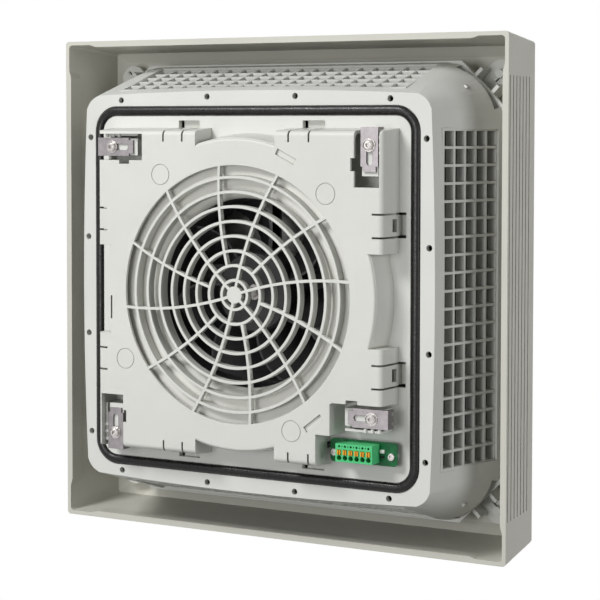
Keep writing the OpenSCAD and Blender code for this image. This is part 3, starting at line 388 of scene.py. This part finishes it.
def plated(name, code, roughness=0.3):
    """Zinc-plated steel: bright grey metal with a slight cloudy bloom and rolled-off edges."""
    material, tree, shader, place = surface(name)
    bloom = noise(tree, place, ZINC_BLOOM, detail=4.0)
    metal = blended(tree, spread(tree, bloom, 0, 1), toned(code, 0.82), toned(code, 1.05))
    tree.links.new(metal, shader.inputs["Base Color"])
    haze = spread(tree, noise(tree, place, ZINC_HAZE), roughness - 0.08, roughness + 0.1)
    tree.links.new(haze, shader.inputs["Roughness"])
    bump = add(
        tree,
        "ShaderNodeBump",
        values={"Strength": 0.25, "Distance": ZINC_DEPTH},
        links={"Height": noise(tree, place, ZINC_GRAIN, detail=2.0), "Normal": soft_edge(tree, ZINC_EDGE)},
    )
    tree.links.new(bump.outputs["Normal"], shader.inputs["Normal"])
    shader.inputs["Metallic"].default_value = 1.0
    return material


def masked_board(name, code):
    """Solder-masked circuit board: glossy green lacquer over faintly raised copper areas."""
    material, tree, shader, place = surface(name)
    copper = add(
        tree,
        "ShaderNodeTexVoronoi",
        props={"distance": "CHEBYCHEV", "feature": "F1"},
        values={"Scale": 1 / COPPER_AREAS, "Randomness": 0.6},
        links={"Vector": place},
    ).outputs["Distance"]
    rim = {"start": 0.32, "end": 0.38}
    green = blended(tree, spread(tree, copper, 0, 1, **rim), toned(code, 0.85), toned(code, 1.12))
    tree.links.new(green, shader.inputs["Base Color"])
    bump = add(
        tree,
        "ShaderNodeBump",
        values={"Strength": 0.3, "Distance": COPPER_DEPTH},
        links={"Height": spread(tree, copper, 1, 0, **rim)},
    )
    tree.links.new(bump.outputs["Normal"], shader.inputs["Normal"])
    shader.inputs["Roughness"].default_value = 0.34
    shader.inputs["Specular IOR Level"].default_value = 0.25
    return material


def dress(material, *names):
    """Gives CAD nodes or pieces one material."""
    for name in names:
        piece = bpy.data.objects[name]
        piece.data.materials.clear()
        piece.data.materials.append(material)


def nothing_selected():
    if bpy.context.object and bpy.context.object.mode != "OBJECT":
        bpy.ops.object.mode_set(mode="OBJECT")
    bpy.ops.object.select_all(action="DESELECT")


def settled(piece, name):
    """Names a piece and moves its place into its mesh."""
    piece.name = name
    piece.data.name = name
    nothing_selected()
    piece.select_set(True)
    bpy.context.view_layer.objects.active = piece
    bpy.ops.object.transform_apply(location=True, rotation=True, scale=True)
    return piece


def copied(node, name):
    """A merged copy of a CAD node's mesh, the start of the piece that stands for that node."""
    piece = bpy.data.objects.new(name, bpy.data.objects[node].data.copy())
    piece.data.name = name
    bpy.context.scene.collection.objects.link(piece)
    nothing_selected()
    piece.select_set(True)
    bpy.context.view_layer.objects.active = piece
    bpy.ops.object.mode_set(mode="EDIT")
    bpy.ops.mesh.select_all(action="SELECT")
    bpy.ops.mesh.remove_doubles(threshold=WELD)
    bpy.ops.mesh.dissolve_limited(angle_limit=FLAT_ANGLE)
    bpy.ops.object.mode_set(mode="OBJECT")
    return piece


def roughened(piece, lump, depth):
    """Draws the skin of a soft piece in by up to depth, in lumps of a real size."""
    clouds = bpy.data.textures.new(piece.name + "_lumps", "CLOUDS")
    clouds.noise_scale = lump
    clouds.noise_depth = 2
    relief = piece.modifiers.new("Lumps", "DISPLACE")
    relief.texture = clouds
    relief.texture_coords = "LOCAL"
    relief.mid_level = 1.0
    relief.strength = depth
    nothing_selected()
    piece.select_set(True)
    bpy.context.view_layer.objects.active = piece
    bpy.ops.object.modifier_apply(modifier=relief.name)
    bpy.ops.object.shade_smooth()
    return piece


def finished(piece, material, body):
    """Gives a new piece its finish and its body."""
    piece.data.materials.clear()
    piece.data.materials.append(material)
    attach(piece, body)
    return piece


class RoofFanStep:
    """What the operators share."""

    bl_options = {"REGISTER", "UNDO"}


class ROOFFAN_OT_hood(RoofFanStep, bpy.types.Operator):
    """Finish the hood and its quarter-turn studs"""

    bl_idname = "rooffan.hood"
    bl_label = "Hood"

    def execute(self, context):
        size = settings()
        shell = moulded("Hood ABS, light grey", tones().hood, size.grain, size.edge, roughness=0.45)
        dress(shell, "hood")
        half = size.edge / 2
        stud = moulded("Stud polyamide, light grey", tones().frame, size.grain, half, roughness=0.38)
        dress(stud, *[f"hood_stud_{k}" for k in CORNERS])
        return {"FINISHED"}


class ROOFFAN_OT_frame(RoofFanStep, bpy.types.Operator):
    """Finish the latticed frame, the top plate and their screws"""

    bl_idname = "rooffan.frame"
    bl_label = "Frame"

    def execute(self, context):
        size = settings()
        walls = moulded("Frame ABS, light grey", tones().frame, size.grain, size.edge)
        dress(walls, "base_frame")
        roof = moulded("Top plate ABS, light grey", tones().frame, size.grain, size.edge, roughness=0.46)
        dress(roof, "top_plate")
        dress(plated("Plate screws, zinc plated", tones().zinc), "top_plate_screws")
        return {"FINISHED"}


class ROOFFAN_OT_seal(RoofFanStep, bpy.types.Operator):
    """Lay the foamed bead round the flange"""

    bl_idname = "rooffan.seal"
    bl_label = "Seal bead"

    def execute(self, context):
        size = settings()
        low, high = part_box("mounting_gasket")
        half_w = size.bead_width / 2
        half_h = (high[2] - low[2]) / 2
        level = (high[2] + low[2]) / 2
        run = high[0] - half_w
        nothing_selected()
        bpy.ops.mesh.primitive_plane_add(size=2 * run, location=(0, 0, level))
        bead = settled(bpy.context.object, "seal_bead")
        bpy.ops.object.mode_set(mode="EDIT")
        bpy.ops.mesh.select_all(action="SELECT")
        turn = size.bead_corner - half_w
        bpy.ops.mesh.bevel(affect="VERTICES", offset=turn, segments=BEAD_CORNER_STEPS)
        bpy.ops.mesh.delete(type="ONLY_FACE")
        bpy.ops.object.mode_set(mode="OBJECT")
        for edge in bead.data.edges:
            first, last = (bead.data.vertices[i].co for i in edge.vertices)
            edge.select = (first - last).length > run
        bpy.ops.object.mode_set(mode="EDIT")
        bpy.ops.mesh.select_mode(type="EDGE")
        bpy.ops.mesh.subdivide(number_cuts=BEAD_CUTS)
        bpy.ops.object.mode_set(mode="OBJECT")
        bpy.ops.object.convert(target="CURVE")
        bead.data.bevel_depth = half_w
        bead.data.bevel_resolution = BEAD_SECTION_STEPS
        bpy.ops.object.convert(target="MESH")
        bpy.ops.object.mode_set(mode="EDIT")
        bpy.ops.mesh.select_all(action="SELECT")
        bpy.ops.mesh.remove_doubles(threshold=FINE_WELD)
        bpy.ops.transform.resize(value=(1, 1, half_h / half_w), center_override=(0, 0, level))
        bpy.ops.mesh.normals_make_consistent(inside=False)
        bpy.ops.object.mode_set(mode="OBJECT")
        roughened(bead, BEAD_LUMPS, 2 * size.bead_wave)
        finished(bead, foamed("Foamed bead, black polyurethane", tones().foam), "root")
        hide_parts("mounting_gasket")
        return {"FINISHED"}


class ROOFFAN_OT_mats(RoofFanStep, bpy.types.Operator):
    """Fill the lattice with the four filter mats"""

    bl_idname = "rooffan.mats"
    bl_label = "Filter mats"

    def execute(self, context):
        size = settings()
        felt = felted("Filter felt, grey polyester", tones().mat, size.fibre)
        for k in CORNERS:
            mat = copied(f"filter_mat_{k}", f"filter_felt_{k}")
            bpy.ops.object.mode_set(mode="EDIT")
            bpy.ops.mesh.select_all(action="SELECT")
            bpy.ops.mesh.subdivide(number_cuts=MAT_CUTS)
            bpy.ops.object.mode_set(mode="OBJECT")
            roughened(mat, 2 * size.fibre, size.mat_tuft)
            finished(mat, felt, "root")
            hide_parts(f"filter_mat_{k}")
        return {"FINISHED"}


class ROOFFAN_OT_cover(RoofFanStep, bpy.types.Operator):
    """Finish the grille cover and the bell mouth behind it"""

    bl_idname = "rooffan.cover"
    bl_label = "Cover"

    def execute(self, context):
        size = settings()
        grille = moulded("Cover ABS, light grey", tones().cover, size.grain, size.edge, roughness=0.4)
        dress(grille, "grille_cover")
        bell = moulded("Nozzle ABS, near white", tones().nozzle, size.grain, size.edge, roughness=0.36)
        dress(bell, "inlet_nozzle")
        return {"FINISHED"}


class ROOFFAN_OT_fan(RoofFanStep, bpy.types.Operator):
    """Finish the axial fan, its motor and its lead"""

    bl_idname = "rooffan.fan"
    bl_label = "Fan"

    def execute(self, context):
        black = glass_filled("Fan PBT, black", tones().fan)
        dress(black, "fan_frame", "impeller", "fan_lead")
        steel = plated("Motor steel, ground", tones().zinc, roughness=0.28)
        dress(steel, "rotor_cup", "rotor_shaft", "front_bearing", "rear_bearing")
        dress(steel, "shaft_clip", "fan_screws")
        dress(plated("Winding, enamelled copper", tones().copper, roughness=0.4), "stator")
        return {"FINISHED"}


class ROOFFAN_OT_clamps(RoofFanStep, bpy.types.Operator):
    """Finish the four sheet clamps"""

    bl_idname = "rooffan.clamps"
    bl_label = "Clamps"

    def execute(self, context):
        plate = plated("Clamp plate, zinc plated", tones().plate, roughness=0.4)
        dress(plate, *[f"clamp_plate_{k}" for k in CORNERS])
        bright = plated("Clamp screws, bright zinc", tones().zinc, roughness=0.2)
        dress(bright, "clamp_screws", "clamp_washers")
        dress(plated("Inserts, turned brass", tones().brass, roughness=0.3), "clamp_inserts")
        return {"FINISHED"}


def chip(name, centre, length, width, height):
    """A small moulded part on the board: a block with soft edges and a raised end at each side."""
    edge = height / 6
    end = height / 8
    nothing_selected()
    bpy.ops.mesh.primitive_cube_add(size=1, location=centre)
    piece = bpy.context.object
    piece.scale = (length, width, height)
    settled(piece, name)
    bpy.ops.object.mode_set(mode="EDIT")
    bpy.ops.mesh.select_all(action="SELECT")
    bpy.ops.mesh.bevel(affect="EDGES", offset=edge, segments=2)
    bpy.ops.object.mode_set(mode="OBJECT")
    for face in piece.data.polygons:
        face.select = abs(face.normal.x) > 0.9 and face.area > width * height / 3
    bpy.ops.object.mode_set(mode="EDIT")
    bpy.ops.mesh.select_mode(type="FACE")
    bpy.ops.mesh.inset(thickness=end)
    bpy.ops.mesh.extrude_region_shrink_fatten(TRANSFORM_OT_shrink_fatten={"value": end})
    bpy.ops.mesh.select_all(action="SELECT")
    bpy.ops.mesh.normals_make_consistent(inside=False)
    bpy.ops.object.mode_set(mode="OBJECT")
    return piece


class ROOFFAN_OT_terminal(RoofFanStep, bpy.types.Operator):
    """Finish the circuit board and the terminal block"""

    bl_idname = "rooffan.terminal"
    bl_label = "Terminal"

    def execute(self, context):
        size = settings()
        dress(masked_board("Board, green solder mask", tones().board), "terminal_board")
        half = size.edge / 2
        block = moulded("Block polyamide, light green", tones().block, size.grain, half, roughness=0.4)
        dress(block, "terminal_block")
        lever = moulded("Lever polyamide, orange", tones().lever, size.grain, half, roughness=0.36)
        dress(lever, *[f"release_lever_{k}" for k in POLES])
        tinned = plated("Board screws and pins, tinned", tones().zinc, roughness=0.25)
        dress(tinned, "board_screws", "terminal_pins")
        dress(plated("Springs, copper alloy", tones().copper, roughness=0.3), "contact_springs")
        low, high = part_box("terminal_board")
        fine = size.edge / 4
        cap = moulded("Capacitor film, cream", tones().nozzle, size.grain, fine, roughness=0.4)
        body = moulded("Resistor epoxy, black", tones().foam, size.grain, fine, roughness=0.45)
        seat = 0.02
        # Name, place along and across the board, length, width and height in millimetres, and finish.
        spots = (
            ("board_capacitor", 12.2, 7.2, 3.4, 2.4, 1.8, cap),
            ("board_resistor", 12.4, 11.6, 3.0, 1.6, 1.1, body),
        )
        for name, along, across, length, width, height, look in spots:
            centre = (high[0] - along * MM, low[1] + across * MM, low[2] - (height / 2 + seat) * MM)
            part = chip(name, centre, length * MM, width * MM, height * MM)
            finished(part, look, "root")
        return {"FINISHED"}


def lamp(name, place, aim, size, power):
    """A soft square white lamp that looks at a point."""
    data = bpy.data.lights.new(name, "AREA")
    data.shape = "SQUARE"
    data.size = size
    data.energy = power
    made = bpy.data.objects.new(name, data)
    bpy.context.scene.collection.objects.link(made)
    made.location = place
    made.rotation_euler = (Vector(aim) - Vector(place)).to_track_quat("-Z", "Y").to_euler()
    return made


class ROOFFAN_OT_stage(RoofFanStep, bpy.types.Operator):
    """Set up the floor, the lamps, the world and the camera"""

    bl_idname = "rooffan.stage"
    bl_label = "Studio"

    def execute(self, context):
        scene = context.scene
        scene.view_settings.view_transform = "Standard"
        self.world(scene)
        self.floor()
        self.lamps()
        self.camera(scene)
        return {"FINISHED"}

    def world(self, scene):
        """White where it is seen, a level grey where it lights the fan."""
        world = bpy.data.worlds.new("Studio")
        world.use_nodes = True
        scene.world = world
        tree = world.node_tree
        tree.nodes.clear()
        path = add(tree, "ShaderNodeLightPath")
        clear = add(
            tree,
            "ShaderNodeMath",
            props={"operation": "MAXIMUM"},
            links={0: path.outputs["Is Camera Ray"], 1: path.outputs["Is Transmission Ray"]},
        )
        seen = add(
            tree,
            "ShaderNodeMath",
            props={"operation": "MAXIMUM"},
            links={0: clear.outputs["Value"], 1: path.outputs["Is Glossy Ray"]},
        )
        ambient = {"Color": linear("#FFFFFF"), "Strength": 0.15}
        light = add(tree, "ShaderNodeBackground", values=ambient)
        backdrop = {"Color": linear(tones().backdrop), "Strength": 1.0}
        white = add(tree, "ShaderNodeBackground", values=backdrop)
        share = seen.outputs["Value"]
        mix = add(tree, "ShaderNodeMixShader", links={0: share, 1: light.outputs[0], 2: white.outputs[0]})
        out = add(tree, "ShaderNodeOutputWorld")
        tree.links.new(mix.outputs[0], out.inputs["Surface"])

    def floor(self):
        """A pale floor under the cover, seen from above only, because the camera stands below it."""
        low = CAD_BOX[0]
        nothing_selected()
        bpy.ops.mesh.primitive_plane_add(size=settings().floor_size, location=(0, 0, low.z))
        plane = settled(bpy.context.object, "studio_floor")
        material, tree, shader, _ = surface("Studio floor")
        shader.inputs["Base Color"].default_value = linear("#F4F4F2")
        shader.inputs["Roughness"].default_value = 0.9
        facing = add(tree, "ShaderNodeNewGeometry").outputs["Backfacing"]
        clear = add(tree, "ShaderNodeBsdfTransparent")
        mix = add(tree, "ShaderNodeMixShader", links={0: facing, 1: shader.outputs[0], 2: clear.outputs[0]})
        out = next(n for n in tree.nodes if n.type == "OUTPUT_MATERIAL")
        tree.links.new(mix.outputs[0], out.inputs["Surface"])
        plane.data.materials.append(material)
        plane.visible_shadow = False
        plane.visible_diffuse = False
        plane.visible_glossy = False
        plane.visible_transmission = False

    def lamps(self):
        """A key lamp at the picture's upper left, and others before, behind and to the right of the fan."""
        cover = (0, 0, 0)
        hood = (0, 0, 0.05)
        # Name, place, aim, side in metres and power in watts.
        studio = (
            ("key", (-0.8, -1.4, -1.6), cover, 0.7, 37),
            ("fill_camera", (-0.2, -0.1, -2.2), cover, 0.9, 17),
            ("sky", (-0.8, 0.2, 1.8), hood, 1.6, 30),
            ("side", (1.8, -0.2, -0.15), hood, 1.0, 9),
        )
        for name, place, aim, side, power in studio:
            lamp(name, place, aim, side, power)

    def camera(self, scene):
        """The photograph's viewpoint: below the roof and about 29 degrees to the side of the fan's axis."""
        data = bpy.data.cameras.new("Camera")
        data.lens = settings().lens
        data.sensor_width = 36
        data.shift_y = settings().shift
        data.clip_end = 20
        made = bpy.data.objects.new("Camera", data)
        scene.collection.objects.link(made)
        yaw = 0.4985
        pitch = -0.0444
        roll = 0.0015
        stand = Vector((744.5927, -132.8342, -1284.0251)) * MM
        right = Vector((math.cos(yaw), 0, math.sin(yaw)))
        back = Vector((math.sin(yaw), 0, -math.cos(yaw)))
        level = Matrix((right, Vector((0, -1, 0)), back)).transposed()
        turn = level @ Matrix.Rotation(pitch, 3, "X") @ Matrix.Rotation(roll, 3, "Z")
        made.matrix_world = Matrix.Translation(stand) @ turn.to_4x4()
        scene.camera = made


STEPS = (
    ROOFFAN_OT_hood,
    ROOFFAN_OT_frame,
    ROOFFAN_OT_seal,
    ROOFFAN_OT_mats,
    ROOFFAN_OT_cover,
    ROOFFAN_OT_fan,
    ROOFFAN_OT_clamps,
    ROOFFAN_OT_terminal,
    ROOFFAN_OT_stage,
)


class VIEW3D_PT_roof_fan(bpy.types.Panel):
    """Sidebar panel of the roof fan"""

    bl_label = "Roof Fan"
    bl_idname = "VIEW3D_PT_roof_fan"
    bl_space_type = "VIEW_3D"
    bl_region_type = "UI"
    bl_category = "Roof Fan"

    def draw(self, context):
        for group in (context.scene.roof_fan_sizes, context.scene.roof_fan_tones):
            box = self.layout.box()
            for key in group.__annotations__:
                box.prop(group, key)
        for step in STEPS:
            self.layout.operator(step.bl_idname)


CLASSES = (RoofFanSizes, RoofFanTones, *STEPS, VIEW3D_PT_roof_fan)


def register():
    for cls in CLASSES:
        bpy.utils.register_class(cls)
    bpy.types.Scene.roof_fan_sizes = bpy.props.PointerProperty(type=RoofFanSizes)
    bpy.types.Scene.roof_fan_tones = bpy.props.PointerProperty(type=RoofFanTones)


def unregister():
    del bpy.types.Scene.roof_fan_tones
    del bpy.types.Scene.roof_fan_sizes
    for cls in reversed(CLASSES):
        bpy.utils.unregister_class(cls)


def main():
    register()
    bpy.ops.rooffan.hood()
    bpy.ops.rooffan.frame()
    bpy.ops.rooffan.seal()
    bpy.ops.rooffan.mats()
    bpy.ops.rooffan.cover()
    bpy.ops.rooffan.fan()
    bpy.ops.rooffan.clamps()
    bpy.ops.rooffan.terminal()
    bpy.ops.rooffan.stage()


if __name__ == "__main__":
    main()
